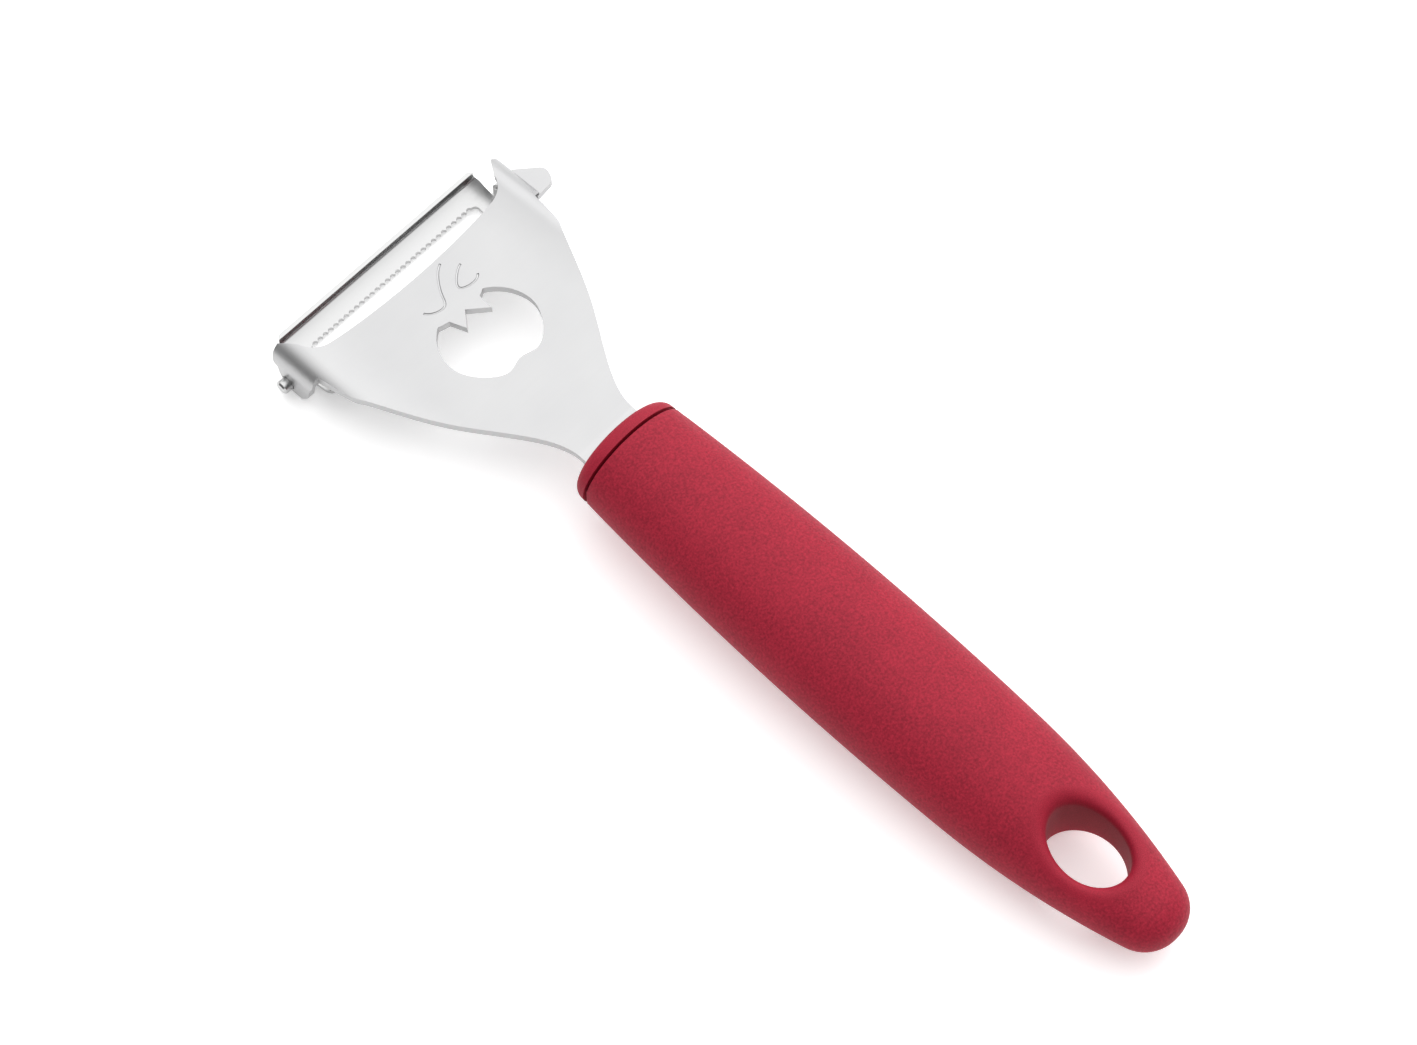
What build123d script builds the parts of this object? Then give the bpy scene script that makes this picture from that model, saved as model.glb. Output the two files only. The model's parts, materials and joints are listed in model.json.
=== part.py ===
from build123d import *
import math
import os

# Swivel-blade hand peeler, Y pattern. Millimetres, +Y from the handle to the blade, +X across, +Z up.
# It is built round the centre of the hanging hole, with the handle's axis along Y. At the end it is
# laid down, so that the grip's belly and the blade rest on the plane Z = 0 under the middle of its box.

# ---- handle ----
handle_rear = -18.9            # rear tip
handle_front = 103.0           # flat front face of the collar
tip_flat = 0.5                 # small flat at the very tip
dome_radius = 6.5              # rounded end, then its turn in degrees
dome_turn = 75.0
rear_radius = 160.0            # swell behind the belly, then its turn in degrees
rear_turn = 12.7
belly_radius = 700.0           # long belly up to the collar
thickness_ratio = 0.73         # height over width of every handle section
core_half_width = 8.4          # oval bar under the soft skin
core_rear = 13.0
collar_length = 2.7
collar_round = 2.2
groove_width = 0.45            # open joint between collar and skin
hole_length = 15.2             # clear oval of the hanging hole
hole_width = 10.2
liner_wall = 1.5
rim_round = 1.0

# ---- head plate ----
sheet = 1.5
neck_half_width = 6.2
bend_line = 106.0              # where the plate turns down from the tang
droop = 6.0                    # degrees
flat_half_width = 15.0         # the plate's flat middle, before its sides rise towards the folds
side_rise = 10.0               # degrees
ear_face = 26.6                # outer face of each ear from the centre plane
fold_radius = 3.2              # at the middle of the sheet
ear_start = 42.8               # from the bend line, along the plate
ear_front = 51.4
ear_bottom = 7.8               # below the plate's middle plane
front_edge_middle = 44.9
horn_tip = 52.7
groove_radius = 0.22           # engraved lines
groove_depth = 0.14
tongue_thickness = 1.2         # stalk remover
tongue_below_plate = 2.9
tongue_corner = 1.7
tang_length = 58.0
tang_half_width = 5.2
tang_pin_radius = 1.5
tang_pin_length = 10.0
tang_pin_places = (84.0, 60.0)

# ---- blade and pivots ----
pivot_from_bend = 49.5         # along the plate
pivot_below_plate = 5.8        # below the plate's middle plane
pin_radius = 1.3
running_clearance = 0.09
pin_stand_out = 1.7            # beyond the ear's outer face
blade_sheet = 0.8
blade_half_length = 23.0
blade_bend = 1.0
blade_corner = 2.4
trough_radius = 13.6
trough_depth = 2.0             # below the pivot axis
flange_top = 1.5
guide_top = 0.4
flange_reach = 6.7             # from the pivot axis to the front flange
slot_half_length = 19.6
slot_front = 2.8
slot_rear = -1.2
tooth_pitch = 1.2
tooth_depth = 0.4
tooth_radius = 0.52
lug_gap = 0.8                  # between the blade's end walls and the ears
lug_radius = 2.5
pin_head_radius = 1.9
pin_head = 0.5

# ---- resting position ----
rest_tilt = 1.98               # degrees, tail down


def slab(y_low, y_high, size=80):
    """A block across the whole tool between two stations along Y."""
    block = Box(size, y_high - y_low, size)
    return Pos(0, (y_low + y_high) / 2, 0) * block


def plan_prism(face, height=60):
    """An outline drawn in the XY plane, carried through the whole thickness."""
    return extrude(face, height / 2, both=True)


# ---------------------------------------------------------------- handle
# The handle's pieces are first made round, about the Y axis, and then flattened together.
def flattened(shape):
    """Turns a round section into the handle's oval one."""
    return scale(shape, by=(1, 1, thickness_ratio))


def round_form():
    """The handle's outer form before it is flattened: a half profile of tangent arcs, turned about Y."""
    tip = (0, handle_rear)
    dome = JernArc((tip_flat, handle_rear), (1, 0), dome_radius, dome_turn)
    rear = JernArc(dome @ 1, dome % 1, rear_radius, rear_turn)
    left = handle_front - collar_round - (rear @ 1).Y
    belly = JernArc(rear @ 1, rear % 1, belly_radius, math.degrees(left / belly_radius))
    corner = belly @ 1
    rim = RadiusArc(corner, (corner.X - collar_round, handle_front), -collar_round)
    front = Line(rim @ 1, (0, handle_front))
    edges = [Line(tip, dome @ 0), dome, rear, belly, rim, front, Line((0, handle_front), tip)]
    return revolve(make_face(edges), Axis.Y)


def round_bar():
    """Bar that carries the soft skin, before it is flattened."""
    length = handle_front - collar_length - core_rear
    section = Plane.XZ * Circle(core_half_width)
    return Pos(0, core_rear, 0) * extrude(section, -length)


def oval(length, width):
    """An oval, long along Y."""
    return Rot(0, 0, 90) * Ellipse(length / 2, width / 2)


def hanging_liner(form):
    """Smooth rim piece of the hanging hole, flush with the grip and rounded at both mouths."""
    outside = plan_prism(oval(hole_length + 2 * liner_wall, hole_width + 2 * liner_wall))
    inside = oval(hole_length, hole_width)
    rim_length = inside.edges()[0].length
    liner = (form & outside) - plan_prism(inside)
    edges = [e for e in liner.edges() if e.geom_type != GeomType.LINE]
    mouths = [e for e in edges if abs(e.length - rim_length) < 0.1 * rim_length]
    return fillet(mouths, rim_round), outside


def handle_parts(plate):
    """Core bar, soft skin, front collar and the liner of the hanging hole."""
    form = round_form()
    bar = round_bar()
    liner, liner_space = hanging_liner(form)
    collar_back = handle_front - collar_length
    skin_front = collar_back - groove_width
    collar = form & slab(collar_back, handle_front + 1)
    skin = (form & slab(handle_rear - 1, skin_front)) - bar - liner_space
    core = flattened(bar) - plate
    for pin in tang_pins():
        core = core - pin
    return {
        "handle_core": core,
        "grip_skin": flattened(skin),
        "front_collar": flattened(collar) - plate,
        "hanging_hole_liner": flattened(liner),
    }


# ---------------------------------------------------------------- head plate
def plate_plan():
    """Flared plan with waisted flanks, two pointed front corners and a shallow hollow front edge."""
    tail = -4
    beyond = ear_face + 1
    flank_end = (24.7, ear_start)
    flank = Spline(
        (neck_half_width, tail),
        (neck_half_width + 0.1, 1),
        (10.2, 10),
        (17.5, 22),
        (22.9, 33.5),
        flank_end,
        tangents=[(0, 1), (0.12, 1)],
    )
    ear_side = Line(flank_end, (beyond, ear_start))
    outer = Line((beyond, ear_start), (beyond, horn_tip - 0.9))
    tip = Polyline((beyond, horn_tip - 0.9), (26.1, horn_tip), (24.7, horn_tip))
    inner = Line((24.7, horn_tip), (22.7, 49.6))
    root = ThreePointArc((22.7, 49.6), (21.2, 47.2), (18.7, 46.15))
    front = ThreePointArc((18.7, 46.15), (0, front_edge_middle), (-18.7, 46.15))
    right = [flank, ear_side, outer, tip, inner, root]
    left = [e.mirror(Plane.YZ) for e in right]
    close = Line((-neck_half_width, tail), (neck_half_width, tail))
    return make_face([e for part in right + left for e in part.edges()] + [front, close])


def half_section():
    """Right half of the sheet's section: flat middle, a side that rises a little, tight fold, leg."""
    across = ear_face - sheet / 2 - fold_radius * (1 + math.sin(math.radians(side_rise)))
    rise_radius = (across - flat_half_width) / math.sin(math.radians(side_rise))
    middle = Line((0, 0), (flat_half_width, 0))
    rise = JernArc(middle @ 1, (1, 0), rise_radius, side_rise)
    fold = JernArc(rise @ 1, rise % 1, fold_radius, -(90 + side_rise))
    leg = Line(fold @ 1, (ear_face - sheet / 2, -ear_bottom - 2))
    return trace([middle, rise, fold, leg], sheet)


def ear_profile():
    """Side view of what is kept: the plate's level, and below it one lobe for each ear."""
    level = -1.1
    above = 4
    back = -6
    outline = FilletPolyline(
        (back, level),
        (ear_start, level),
        (ear_start + 0.8, -2.6),
        (ear_start + 1.9, -5.8),
        (ear_start + 3.8, -ear_bottom),
        (ear_front - 1.0, -ear_bottom),
        (ear_front, -4.5),
        (ear_front, -3.0),
        (horn_tip + 0.8, -1.3),
        radius=0.35,
    )
    corner = (horn_tip + 0.8, above)
    close = [Line(outline @ 1, corner), Line(corner, (back, above)), Line((back, above), outline @ 0)]
    return make_face([outline] + close)


def fruit_window():
    """Round fruit with a shallow notch at its foot and two pointed sepals at its crown."""
    middle = 0.6
    half = [(0, 20.4), (2.9, 19.7), (6.6, 21.8), (9.15, 26.8), (8.3, 31.4), (5.2, 34.9)]
    right = [(middle + x, v) for x, v in half]
    left = [(middle - x, v) for x, v in half[1:]]
    round_part = Spline(*reversed(right), *left)
    crown = [right[-1], (4.4, 34.2), (4.2, 31.1), (0.9, 34.1), (-1.4, 31.2), (-2.5, 34.3), left[-1]]
    return make_face([round_part] + Polyline(*crown).edges())


def stalk_lines():
    """Engraved outlines of a leaf and of a stalk above the window."""
    leaf = Spline((6.7, 41.2), (4.4, 39.8), (3.3, 37.9), (5.0, 37.0), (7.3, 37.7))
    stalk = Spline((4.4, 43.8), (1.8, 41.5), (0.2, 38.8), (-0.9, 37.1), (-2.3, 37.1), (-4.3, 38.7))
    return [leaf, stalk]


def engraving(line):
    """A round-bottomed groove along a line on the plate's upper face."""
    lifted = Pos(0, 0, sheet / 2 + groove_radius - groove_depth) * line
    section = Plane(origin=lifted @ 0, z_dir=lifted % 0) * Circle(groove_radius)
    return sweep(section, path=lifted)


def stalk_remover():
    """Rounded tongue that leaves the right ear sideways, for lifting stalks and eyes."""
    inner = ear_face - sheet / 2
    outline = Polyline((inner, 42.7), (29.9, 43.1), (31.0, 46.0), (26.8, 49.9), (inner, 49.9), (inner, 42.7))
    face = make_face(outline)
    outer_corners = face.vertices().sort_by(Axis.X)[-2:]
    face = fillet(outer_corners, tongue_corner)
    return Pos(0, 0, -tongue_below_plate) * extrude(face, tongue_thickness)


def head_plate():
    """Tang, neck, flared plate, folded ears and pointed corners, all of one sheet."""
    channel_length = 60
    half_channel = Pos(0, -5, 0) * extrude(Plane.XZ * half_section(), -channel_length)
    channel = half_channel + half_channel.mirror(Plane.YZ)
    plate = channel & plan_prism(plate_plan())
    plate = plate & extrude(Plane.YZ * ear_profile(), 2 * ear_face, both=True)
    plate = plate - plan_prism(fruit_window())
    for line in stalk_lines():
        plate = plate - engraving(line)
    plate = plate + stalk_remover()
    bore = Cylinder(pin_radius + running_clearance, 3 * ear_face, rotation=(0, 90, 0))
    plate = plate - Pos(0, pivot_from_bend, -pivot_below_plate) * bore
    plate = plate - slab(-20, 0)
    drooped = Pos(0, bend_line, 0) * Rot(-droop, 0, 0) * plate
    knee = Pos(0, bend_line, 0) * Cylinder(sheet / 2, 2 * neck_half_width, rotation=(0, 90, 0))
    stem_length = 2 * (bend_line - handle_front)
    stem = Pos(0, bend_line - stem_length / 2, 0) * Box(2 * neck_half_width, stem_length, sheet)
    tang_middle = handle_front - tang_length / 2
    tang = Pos(0, tang_middle, 0) * Box(2 * tang_half_width, tang_length, sheet)
    for pin in tang_pins():
        tang = tang - pin
    return drooped + knee + stem + tang


def tang_pins():
    """Two upright pins that lock the tang in the core."""
    return [Pos(0, y, 0) * Cylinder(tang_pin_radius, tang_pin_length) for y in tang_pin_places]


# ---------------------------------------------------------------- blade
def blade_section():
    """Shallow trough, rounded side down, with a tall front flange and a low rear one."""
    centre = trough_radius - trough_depth
    angle = math.asin((flange_reach - blade_bend) / (trough_radius - blade_bend))
    y_end = trough_radius * math.sin(angle)
    z_end = centre - trough_radius * math.cos(angle)
    floor = ThreePointArc((-y_end, z_end), (0, -trough_depth), (y_end, z_end))
    turn = 90 - math.degrees(angle)
    front_bend = JernArc((y_end, z_end), floor % 1, blade_bend, turn)
    rear_bend = JernArc((-y_end, z_end), floor % 0 * -1, blade_bend, -turn)
    front = Line(front_bend @ 1, (flange_reach, flange_top))
    rear = Line(rear_bend @ 1, (-flange_reach, guide_top))
    return trace([rear, rear_bend, floor, front_bend, front], blade_sheet)


def serration():
    """Row of small round bites that leave a scalloped cutting edge."""
    count = int(2 * (slot_half_length - 1) / tooth_pitch)
    first = -(count - 1) / 2 * tooth_pitch
    centre = slot_front + tooth_depth - tooth_radius
    return Sketch() + [Pos(first + i * tooth_pitch, centre) * Circle(tooth_radius) for i in range(count)]


def end_lug(side):
    """End of the blade, folded up into a wall that holds the pivot pin."""
    wall_outer = ear_face - sheet - lug_gap
    low = trough_depth + blade_sheet / 2
    wall = Circle(lug_radius) + Pos(0, -low / 2) * Rectangle(2 * lug_radius, low)
    upright = Pos(wall_outer - blade_sheet, 0, 0) * extrude(Plane.YZ * wall, blade_sheet)
    foot_start = blade_half_length - blade_corner
    foot_length = wall_outer - foot_start
    foot = Box(foot_length, 2 * lug_radius, blade_sheet)
    lug = upright + Pos(foot_start + foot_length / 2, 0, -trough_depth) * foot
    return lug if side > 0 else lug.mirror(Plane.YZ)


def peeling_blade():
    """Pressed trough with a slot; the slot's front lip is the serrated cutting edge."""
    length = 2 * blade_half_length
    strip = extrude(Plane.YZ * blade_section(), length / 2, both=True)
    plan = RectangleRounded(length, 2 * (flange_reach + blade_sheet), blade_corner)
    strip = strip & plan_prism(plan)
    slot_middle = (slot_front + slot_rear) / 2
    slot = Pos(0, slot_middle) * RectangleRounded(2 * slot_half_length, slot_front - slot_rear, 0.9)
    blade = strip + end_lug(1) + end_lug(-1)
    blade = blade - plan_prism(slot + serration())
    for side in (1, -1):
        blade = blade - pivot_pin(side)
    return blade


def pivot_pin(side):
    """Short pin with an inner head, fixed in the blade's end wall, chamfered at its free end."""
    inner = ear_face - sheet - lug_gap - blade_sheet
    outer = ear_face + pin_stand_out
    shank = Pos((inner + outer) / 2, 0, 0) * Cylinder(pin_radius, outer - inner, rotation=(0, 90, 0))
    shank = chamfer(shank.edges().group_by(Axis.X)[-1], 0.3)
    head = Pos(inner - pin_head / 2, 0, 0) * Cylinder(pin_head_radius, pin_head, rotation=(0, 90, 0))
    pin = shank + head
    return pin if side > 0 else pin.mirror(Plane.YZ)


def at_pivot(shape):
    """Carries a shape drawn round the pivot axis to its place between the ears."""
    d = math.radians(droop)
    y = bend_line + pivot_from_bend * math.cos(d) - pivot_below_plate * math.sin(d)
    z = -pivot_from_bend * math.sin(d) - pivot_below_plate * math.cos(d)
    return Pos(0, y, z) * shape


# ---------------------------------------------------------------- assembly
def all_parts():
    """Every sub-part by its name, in the frame of the hanging hole."""
    plate = head_plate()
    parts = {
        "head_plate": plate,
        "peeling_blade": at_pivot(peeling_blade()),
        "pivot_pin_left": at_pivot(pivot_pin(-1)),
        "pivot_pin_right": at_pivot(pivot_pin(1)),
    }
    parts.update(handle_parts(plate))
    parts["tang_pins"] = Compound(children=[pin.solid() for pin in tang_pins()])
    return parts


def main():
    os.makedirs("parts", exist_ok=True)
    tilted = {name: Rot(rest_tilt, 0, 0) * shape for name, shape in all_parts().items()}
    box = Compound(children=[s for shape in tilted.values() for s in shape.solids()]).bounding_box()
    place = Pos(-(box.min.X + box.max.X) / 2, -(box.min.Y + box.max.Y) / 2, -box.min.Z)
    for name, shape in tilted.items():
        export_step(place * shape, f"parts/{name}.step")
    print("size", box.size, "moved by", place.position)


main()
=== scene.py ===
# %% [markdown]
# A hand peeler with a swivelling blade, finished for the camera.
#
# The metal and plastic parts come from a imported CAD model, in metres, and stay exactly where they are.
# This lesson gives them their surfaces, shows the grip skin and the rim of the hanging hole as finer
# meshes, and sets up a small studio round them.

# %% Load the frame
import json
import math

import bpy
import numpy as np
from mathutils import Matrix, Vector


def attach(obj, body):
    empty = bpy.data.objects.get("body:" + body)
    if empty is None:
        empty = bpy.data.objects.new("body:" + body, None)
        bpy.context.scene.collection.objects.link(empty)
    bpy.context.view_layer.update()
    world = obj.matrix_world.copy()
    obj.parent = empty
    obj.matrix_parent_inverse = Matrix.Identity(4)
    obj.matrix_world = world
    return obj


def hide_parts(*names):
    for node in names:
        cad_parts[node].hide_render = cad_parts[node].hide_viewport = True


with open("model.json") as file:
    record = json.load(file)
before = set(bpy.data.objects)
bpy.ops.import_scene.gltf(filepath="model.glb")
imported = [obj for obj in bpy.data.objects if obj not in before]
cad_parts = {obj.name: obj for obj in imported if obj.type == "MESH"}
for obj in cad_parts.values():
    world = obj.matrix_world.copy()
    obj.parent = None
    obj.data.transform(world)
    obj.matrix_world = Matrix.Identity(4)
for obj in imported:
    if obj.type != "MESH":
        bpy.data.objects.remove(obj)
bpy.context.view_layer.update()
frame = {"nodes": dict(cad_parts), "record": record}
nodes = frame["nodes"]
MM = 0.001
print("CAD nodes:", sorted(nodes))

# %% [markdown]
# Colours are written as sRGB hex values, the way a paint chart gives them. Shaders work in linear
# light, so one function converts them. Another adds a shader node with its settings and links, so
# that each material below reads as a short list of steps.


# %% Two helpers for materials
def linear(hex_colour, alpha=1.0):
    """sRGB hex to linear RGBA: below 0.04045 divide by 12.92, above it the 2.4 power curve."""
    s = np.array([int(hex_colour[i:i + 2], 16) for i in (1, 3, 5)]) / 255
    lin = np.where(s <= 0.04045, s / 12.92, ((s + 0.055) / 1.055) ** 2.4)
    return (*lin.tolist(), alpha)


def socket(sockets, name):
    """The socket that is in use under a name; some nodes hold one of the same name for each type."""
    return next(s for s in sockets if s.enabled and s.name == name)


def add(tree, kind, settings=None, **links):
    """Adds one node. settings are its properties or input values; links join its inputs to outputs."""
    node = tree.nodes.new(kind)
    settings = settings or {}
    for name in [n for n in settings if hasattr(node, n)]:
        setattr(node, name, settings[name])
    for name in [n for n in settings if not hasattr(node, n)]:
        socket(node.inputs, name).default_value = settings[name]
    for name, source in links.items():
        tree.links.new(source, socket(node.inputs, name.replace("_", " ")))
    return node


def new_material(name):
    """An empty node material with its shader and its coordinates, returned together."""
    material = bpy.data.materials.new(name)
    material.use_nodes = True
    tree = material.node_tree
    shader = tree.nodes["Principled BSDF"]
    place = add(tree, "ShaderNodeTexCoord").outputs["Object"]
    return material, tree, shader, place


# %% [markdown]
# Stainless steel sheet, brushed. Such a head could be pressed from sheet and then brushed with a fine
# abrasive belt, which leaves short shallow scratches in one direction. Seen from arm's length they blur
# into a soft satin that still shows light and shade at the folds. Real scratches are finer than a tenth
# of a millimetre, so they are drawn a little coarser here. The tone is a little darker than clean steel,
# because the bright side of this room is brighter than white paper.


# %% Brushed stainless steel
def brushed_stainless():
    """Satin metal: long thin noise streaks shift the roughness and tilt the surface very slightly."""
    material, tree, shader, place = new_material("stainless_steel_brushed")
    streak_width = 0.12 * MM
    streak_length = 9 * MM
    cloud_size = 14 * MM
    stretched = add(
        tree, "ShaderNodeMapping", {"Scale": (1 / streak_length, 1 / streak_width, 1 / streak_width)},
        Vector=place,
    )
    streaks = add(
        tree, "ShaderNodeTexNoise", {"Scale": 1.0, "Detail": 3.0, "Roughness": 0.6},
        Vector=stretched.outputs["Vector"],
    )
    clouds = add(
        tree, "ShaderNodeTexNoise", {"Scale": 1 / cloud_size, "Detail": 2.0}, Vector=place
    )
    roughness = add(
        tree, "ShaderNodeMapRange", {"To Min": 0.34, "To Max": 0.48}, Value=streaks.outputs["Fac"]
    )
    tone = add(
        tree, "ShaderNodeMix", {"data_type": "RGBA", "A": linear("#AFAFB0"), "B": linear("#B9B9B9")},
        Factor=clouds.outputs["Fac"],
    )
    bump = add(
        tree, "ShaderNodeBump", {"Strength": 0.12, "Distance": 0.01 * MM}, Height=streaks.outputs["Fac"]
    )
    shader.inputs["Metallic"].default_value = 1.0
    tree.links.new(tone.outputs[2], shader.inputs["Base Color"])
    tree.links.new(roughness.outputs["Result"], shader.inputs["Roughness"])
    tree.links.new(bump.outputs["Normal"], shader.inputs["Normal"])
    return material


# %% [markdown]
# Stainless steel, polished. The blade and its pins look buffed bright, so they mirror the room with
# only faint polishing marks. Their tone is held down for the same reason as the brushed sheet's.


# %% Polished stainless steel
def polished_stainless():
    """Bright metal with faint marks of the buffing wheel."""
    material, tree, shader, place = new_material("stainless_steel_polished")
    mark_size = 0.8 * MM
    marks = add(
        tree, "ShaderNodeTexNoise", {"Scale": 1 / mark_size, "Detail": 4.0, "Roughness": 0.7},
        Vector=place,
    )
    roughness = add(
        tree, "ShaderNodeMapRange", {"To Min": 0.14, "To Max": 0.26}, Value=marks.outputs["Fac"]
    )
    shader.inputs["Metallic"].default_value = 1.0
    shader.inputs["Base Color"].default_value = linear("#B8B8B8")
    tree.links.new(roughness.outputs["Result"], shader.inputs["Roughness"])
    return material


# %% [markdown]
# Thermoplastic rubber, moulded over a hard core. A spark-eroded mould could give the grip its fine
# matt grain; light scatters off it with no clear highlight. The grain is drawn about 0.4 mm wide,
# coarser than such a mould leaves, so that its speckle shows.


# %% Soft-touch rubber
def soft_touch_rubber(name, grain, depth):
    """Matt red: a fine noise makes the grain and the speckle, and a slow one shifts the colour a little."""
    material, tree, shader, place = new_material(name)
    cloud_size = 9 * MM
    slow_share = 0.25
    fine = add(
        tree, "ShaderNodeTexNoise", {"Scale": 1 / grain, "Detail": 2.0, "Roughness": 0.55}, Vector=place
    )
    slow = add(tree, "ShaderNodeTexNoise", {"Scale": 1 / cloud_size, "Detail": 3.0}, Vector=place)
    weighted = add(tree, "ShaderNodeMath", {"operation": "MULTIPLY_ADD"})
    tree.links.new(slow.outputs["Fac"], weighted.inputs[0])
    weighted.inputs[1].default_value = slow_share
    tree.links.new(fine.outputs["Fac"], weighted.inputs[2])
    spread = add(
        tree, "ShaderNodeMapRange", {"From Min": 0.40, "From Max": 0.85}, Value=weighted.outputs[0]
    )
    tone = add(
        tree, "ShaderNodeMix", {"data_type": "RGBA", "A": linear("#861228"), "B": linear("#AE2138")},
        Factor=spread.outputs["Result"],
    )
    bump = add(
        tree, "ShaderNodeBump", {"Strength": 0.7, "Distance": depth}, Height=fine.outputs["Fac"]
    )
    shader.inputs["Roughness"].default_value = 0.62
    shader.inputs["IOR"].default_value = 1.48
    shader.inputs["Specular IOR Level"].default_value = 0.25
    tree.links.new(tone.outputs[2], shader.inputs["Base Color"])
    tree.links.new(bump.outputs["Normal"], shader.inputs["Normal"])
    return material


# %% [markdown]
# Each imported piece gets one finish. The pressed sheet is brushed and the blade with its pins is
# polished. Everything that the hand touches is the same rubber, grained on the grip and smooth on the
# collar and in the hanging hole. The core inside is hidden, so it simply takes the smooth finish too.


# %% Dress the CAD nodes
satin = brushed_stainless()
bright = polished_stainless()
grip_rubber = soft_touch_rubber("thermoplastic_rubber_moulded", 0.42 * MM, 0.06 * MM)
smooth_rubber = soft_touch_rubber("thermoplastic_rubber_smooth", 0.16 * MM, 0.004 * MM)
finishes = {
    "head_plate": satin,
    "tang_pins": satin,
    "peeling_blade": bright,
    "pivot_pin_left": bright,
    "pivot_pin_right": bright,
    "grip_skin": grip_rubber,
    "front_collar": smooth_rubber,
    "hanging_hole_liner": smooth_rubber,
    "handle_core": smooth_rubber,
}
for node_name, material in finishes.items():
    mesh = nodes[node_name].data
    mesh.materials.clear()
    mesh.materials.append(material)
print("dressed", len(finishes), "CAD nodes with", len(set(finishes.values())), "materials")

# %% [markdown]
# The grip's plan outline. Its form reads as arcs that flow into each other: a small round tail, a long
# swell behind the palm, and an almost straight belly up to the collar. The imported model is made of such
# arcs, and they are repeated here, so that the soft skin is as wide at every station as its own. It
# ends 0.15 mm further forward, which leaves a finer joint behind the collar.


# %% Half width of the grip
tail_tip = -18.9               # millimetres from the hanging hole's centre
skin_front = 100.0
tip_flat = 0.5
arc_chain = ((6.5, 75.0), (160.0, 12.7), (700.0, 8.0))      # radius, turn in degrees
thickness_ratio = 0.73         # height over width of every section
front_round = 0.3


def grip_arcs():
    """Centre, radius and end of each arc; every arc starts where, and in the direction that, one ended."""
    point = np.array([tip_flat, tail_tip])
    heading = 0.0
    arcs = []
    for radius, turn in arc_chain:
        centre = point + radius * np.array([-math.sin(heading), math.cos(heading)])
        heading += math.radians(turn)
        point = centre + radius * np.array([math.sin(heading), -math.cos(heading)])
        arcs.append((centre, radius, point[1]))
    return arcs


def half_width(along):
    """Distance from the axis to the outline: centre + sqrt(radius^2 - (along - centre)^2) of its arc."""
    width = np.zeros_like(along)
    start = tail_tip
    for centre, radius, end in grip_arcs():
        inside = (along >= start) & (along <= end)
        root = np.sqrt(np.maximum(radius**2 - (along - centre[1]) ** 2, 0))
        width = np.where(inside, centre[0] + root, width)
        start = end
    cap = (along - (skin_front - front_round)) / front_round
    closing = np.sqrt(np.clip(1 - np.maximum(cap, 0) ** 2, 0, 1))
    return width * closing


print("half widths at the tail, the middle and the front:", half_width(np.array([-12.0, 49.0, 99.0])))

# %% [markdown]
# A skin with a hole through it is a ring, so its surface can be one grid that closes both ways round.
# Rays leave the oval hole and end on the outline, and rows run along them: over the top, round the
# outline and back underneath. Every height comes from one formula, which keeps the moulded rim, the
# flanks and the thin front edge smooth without any cutting. The clear oval is 11 by 15 mm, and its
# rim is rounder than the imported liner's, as on a moulded grip.


# %% Grid of rays from the hole to the outline
hole_half = np.array([5.5, 7.5])        # millimetres across and along
rim_radius = 2.6
tail_stretch = 2.0             # the round end of the tail, sampled more closely than the rest
ray_count = 360


def outline_points(count):
    """Points spaced evenly along the outline, from the front's middle round the tail and back."""
    side = np.concatenate([
        np.linspace(tail_tip, tail_tip + tail_stretch, 400),
        np.linspace(tail_tip + tail_stretch, skin_front - front_round, 2000)[1:],
        skin_front - front_round + front_round * np.sin(np.linspace(0, math.pi / 2, 200))[1:],
    ])
    x = np.concatenate([[0], half_width(side)])
    y = np.concatenate([[tail_tip], side])
    right = np.stack([x, y], 1)[::-1]
    left = np.stack([-x, y], 1)[1:-1]
    loop = np.concatenate([right, left])
    closed = np.concatenate([loop, loop[:1]])
    length = np.concatenate([[0], np.cumsum(np.linalg.norm(np.diff(closed, axis=0), axis=1))])
    even = np.linspace(0, length[-1], count, endpoint=False)
    return np.stack([np.interp(even, length, closed[:, k]) for k in (0, 1)], 1)


outline = outline_points(ray_count)
scaled = outline / hole_half
reach = np.linalg.norm(scaled, axis=1)
direction = scaled / reach[:, None]
slope = np.linalg.norm(direction / hole_half, axis=1)
ray_length = (reach - 1) / slope
print("shortest and longest way from the hole to the outline:", ray_length.min(), ray_length.max())


def plan_point(distance):
    """Point of every ray at a distance from the hole's oval: oval point times (1 + distance * slope)."""
    return direction * hole_half * (1 + distance * slope)[:, None]


def sheet_row(distance, side):
    """One row over the top (side 1) or underneath (side -1): an ellipse's height, less the rim's round."""
    plan = plan_point(distance)
    width = half_width(plan[:, 1])
    height = thickness_ratio * np.sqrt(np.maximum(width**2 - plan[:, 0] ** 2, 0))
    short = np.maximum(rim_radius - distance, 0)
    drop = rim_radius - np.sqrt(np.maximum(rim_radius**2 - short**2, 0))
    return np.column_stack([plan, side * (height - drop)])


# %% [markdown]
# Both pieces of the grip are such rings. The skin takes the rows outside the rim, and the liner of the
# hanging hole takes the rounded mouths and the wall between them.


# %% Ring meshes
mount = next(m for m in frame["record"]["mounts"] if m["name"] == "hanging_hole")
hole_centre = np.array(mount["pos_m"])
up = np.array(mount["axis"]) / np.linalg.norm(mount["axis"])
across = np.array([1.0, 0.0, 0.0])
along_grip = np.cross(up, across)
crease_angle = 40              # degrees; a sharper edge than this is shaded as an edge


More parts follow.
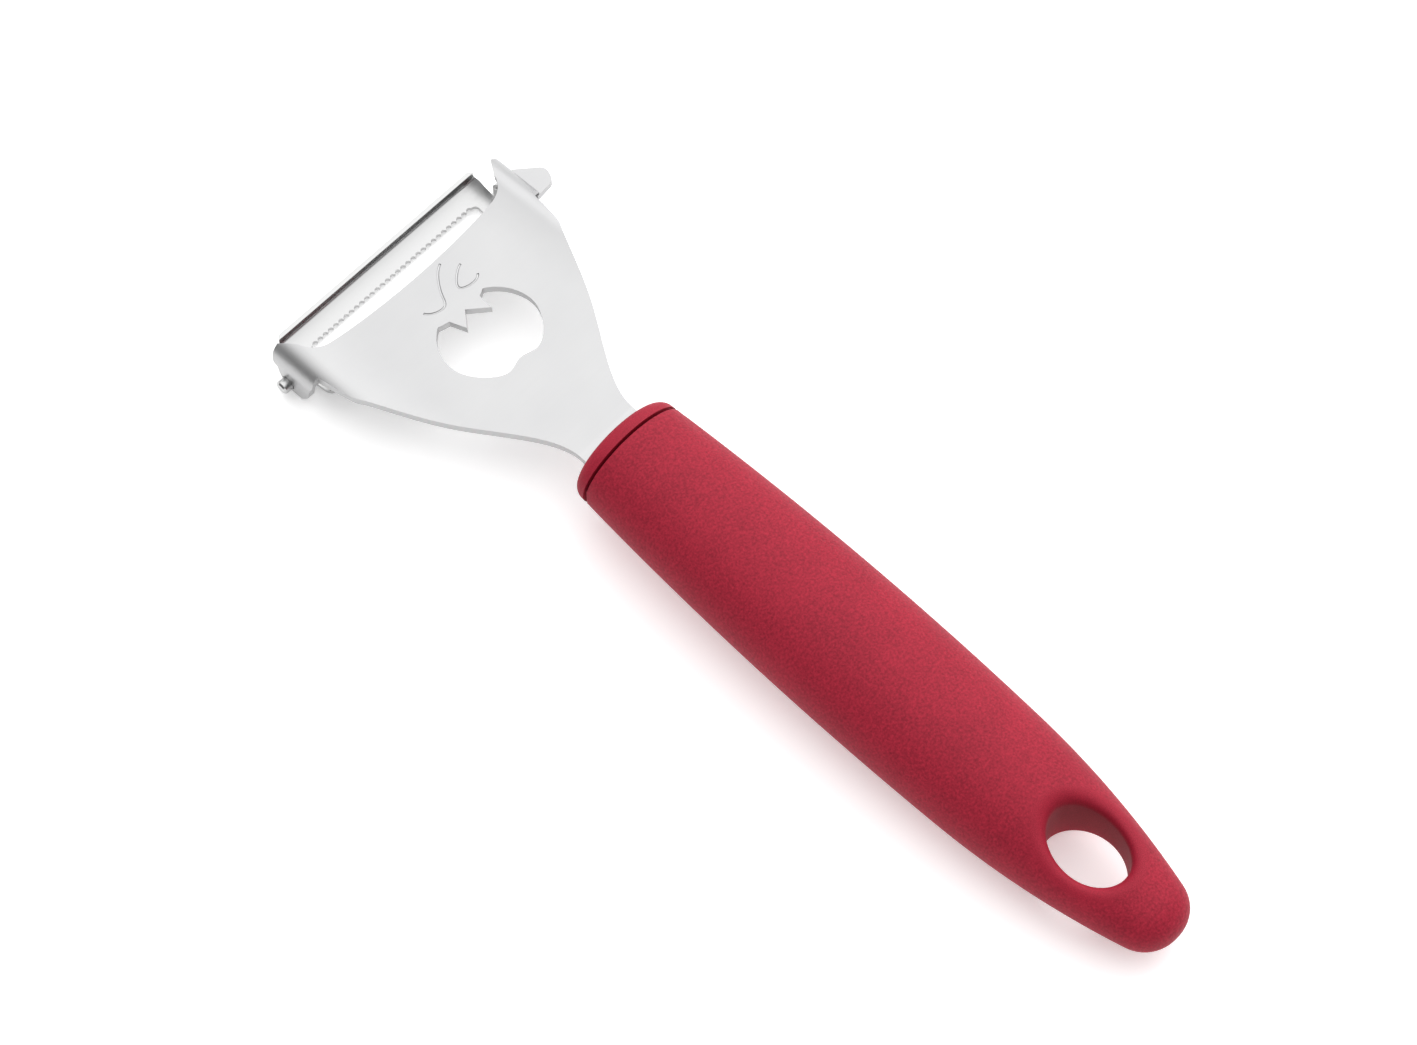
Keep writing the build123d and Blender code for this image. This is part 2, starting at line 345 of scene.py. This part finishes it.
def ring_mesh(name, rows, material, body, replaced):
    """A closed grid: rows joined to the next row and the last to the first, placed in the hole's frame.

    The faces are turned round if the signed volume, a sixth of the sum of a . (b x c), is negative.
    """
    local = np.array(rows) * MM
    grid = hole_centre + local @ np.array([across, along_grip, up])
    row_count, column_count = grid.shape[:2]
    r, c = np.meshgrid(np.arange(row_count), np.arange(column_count), indexing="ij")
    next_r = (r + 1) % row_count
    next_c = (c + 1) % column_count
    quads = np.stack([
        r * column_count + c, r * column_count + next_c,
        next_r * column_count + next_c, next_r * column_count + c,
    ], -1).reshape(-1, 4)
    points = grid.reshape(-1, 3)
    a, b, d = (points[quads[:, k]] - hole_centre for k in (0, 1, 2))
    e = points[quads[:, 3]] - hole_centre
    volume = (np.einsum("ij,ij->i", a, np.cross(b, d)) + np.einsum("ij,ij->i", a, np.cross(d, e))).sum() / 6
    if volume < 0:
        quads = quads[:, ::-1]
    mesh = bpy.data.meshes.new(name)
    mesh.from_pydata(points.tolist(), [], quads.tolist())
    mesh.polygons.foreach_set("use_smooth", np.ones(len(quads), dtype=bool))
    mesh.set_sharp_from_angle(angle=math.radians(crease_angle))
    mesh.materials.append(material)
    piece = bpy.data.objects.new(name, mesh)
    bpy.context.scene.collection.objects.link(piece)
    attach(piece, body)
    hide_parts(replaced)
    print(name, "quads", len(quads), "volume in cubic centimetres", round(abs(volume) * 1e6, 2))


def skin_rows(row_count):
    """Rows from the rim to the outline and back; they crowd towards the outline, where it is steep."""
    steps = [1 - (1 - t) ** 2 for t in np.linspace(0, 1, row_count)]
    top = [sheet_row(rim_radius + (ray_length - rim_radius) * t, 1) for t in steps]
    bottom = [sheet_row(rim_radius + (ray_length - rim_radius) * t, -1) for t in steps[-2::-1]]
    return top + bottom


def liner_rows(round_count, wall_count):
    """Rows round the upper mouth, down the wall and round the lower mouth."""
    angles = np.linspace(math.pi / 2, 0, round_count)
    distances = rim_radius * (1 - np.cos(angles))
    top = [sheet_row(np.full(ray_count, d), 1) for d in distances]
    bottom = [sheet_row(np.full(ray_count, d), -1) for d in distances[::-1]]
    parts = np.linspace(0, 1, wall_count + 2)[1:-1]
    wall = [top[-1] * (1 - p) + bottom[0] * p for p in parts]
    return top + wall + bottom


ring_mesh(
    "grip_surface", skin_rows(110), grip_rubber, "handle_and_head", "grip_skin"
)
ring_mesh(
    "hanging_hole_rim", liner_rows(18, 6), smooth_rubber, "handle_and_head", "hanging_hole_liner",
)

# %% [markdown]
# The camera stands high over the tail's left side, far away, so the tool is drawn with little
# perspective.

# %% Camera
azimuth, elevation, roll = map(math.radians, (-42.235, 62.713, -3.678))
aim = Vector((-1.063, 10.931, 10.995)) * MM
distance = 0.70
back = Vector((
    math.sin(azimuth) * math.cos(elevation),
    -math.cos(azimuth) * math.cos(elevation),
    math.sin(elevation),
))
level = Vector((math.cos(azimuth), math.sin(azimuth), 0))
right = level * math.cos(roll) + back.cross(level) * math.sin(roll)
turned_up = back.cross(right)
camera_data = bpy.data.cameras.new("camera")
camera_data.lens = 110.19
camera_data.sensor_width = 36
camera = bpy.data.objects.new("camera", camera_data)
place = aim + back * distance
camera.matrix_world = Matrix((
    (right.x, turned_up.x, back.x, place.x),
    (right.y, turned_up.y, back.y, place.y),
    (right.z, turned_up.z, back.z, place.z),
    (0, 0, 0, 1),
))
bpy.context.scene.collection.objects.link(camera)
bpy.context.scene.camera = camera
print("camera at", [round(v, 4) for v in place], "with a lens of", camera_data.lens, "mm")

# %% [markdown]
# A white floor, one softbox on the right, and a room that is brightest above that side and falls to
# grey on the other. Flat metal then mirrors the bright part and looks pale, while its folds mirror the
# grey. The floor glows a little by itself, so that shadows stay light.


# %% Floor, lights and sky
def white_floor():
    """One large plain sheet at the resting plane, with a weak glow of its own."""
    half = 3.0
    glow = 0.35
    mesh = bpy.data.meshes.new("floor")
    corners = [(-half, -half, 0), (half, -half, 0), (half, half, 0), (-half, half, 0)]
    mesh.from_pydata(corners, [], [(0, 1, 2, 3)])
    floor = bpy.data.objects.new("floor", mesh)
    bpy.context.scene.collection.objects.link(floor)
    material, tree, shader, place = new_material("matt_white_paper")
    shader.inputs["Base Color"].default_value = linear("#FAFAFA")
    shader.inputs["Roughness"].default_value = 0.9
    shader.inputs["Emission Color"].default_value = linear("#FFFFFF")
    shader.inputs["Emission Strength"].default_value = glow
    mesh.materials.append(material)


def softbox(name, direction, distance, size, power):
    """A square area light that looks at the tool from a direction."""
    data = bpy.data.lights.new(name, "AREA")
    data.shape = "SQUARE"
    data.size = size
    data.energy = power
    lamp = bpy.data.objects.new(name, data)
    out = Vector(direction).normalized()
    lamp.location = out * distance
    lamp.rotation_mode = "QUATERNION"
    lamp.rotation_quaternion = out.to_track_quat("Z", "Y")
    bpy.context.scene.collection.objects.link(lamp)


white_floor()
softbox("key_softbox", (1.0, 0.15, 0.9), 1.4, 0.9, 3)
world = bpy.data.worlds.new("studio")
bpy.context.scene.world = world
world.use_nodes = True
sky = world.node_tree
brightest = Vector((0.45, 0.22, 0.87)).normalized()
room_direction = add(sky, "ShaderNodeTexCoord").outputs["Generated"]
towards = add(sky, "ShaderNodeVectorMath", {"operation": "DOT_PRODUCT"})
sky.links.new(room_direction, towards.inputs[0])
towards.inputs[1].default_value = brightest
ramp = add(
    sky, "ShaderNodeMapRange",
    {"interpolation_type": "SMOOTHSTEP", "From Min": 0.2, "From Max": 0.97, "To Min": 0.24, "To Max": 1.9},
    Value=towards.outputs["Value"],
)
sky.links.new(ramp.outputs["Result"], sky.nodes["Background"].inputs["Strength"])
sky.nodes["Background"].inputs["Color"].default_value = linear("#FFFFFF")
bpy.context.scene.view_settings.view_transform = "Standard"
print("floor, one softbox and a room brightest towards", [round(v, 2) for v in brightest])
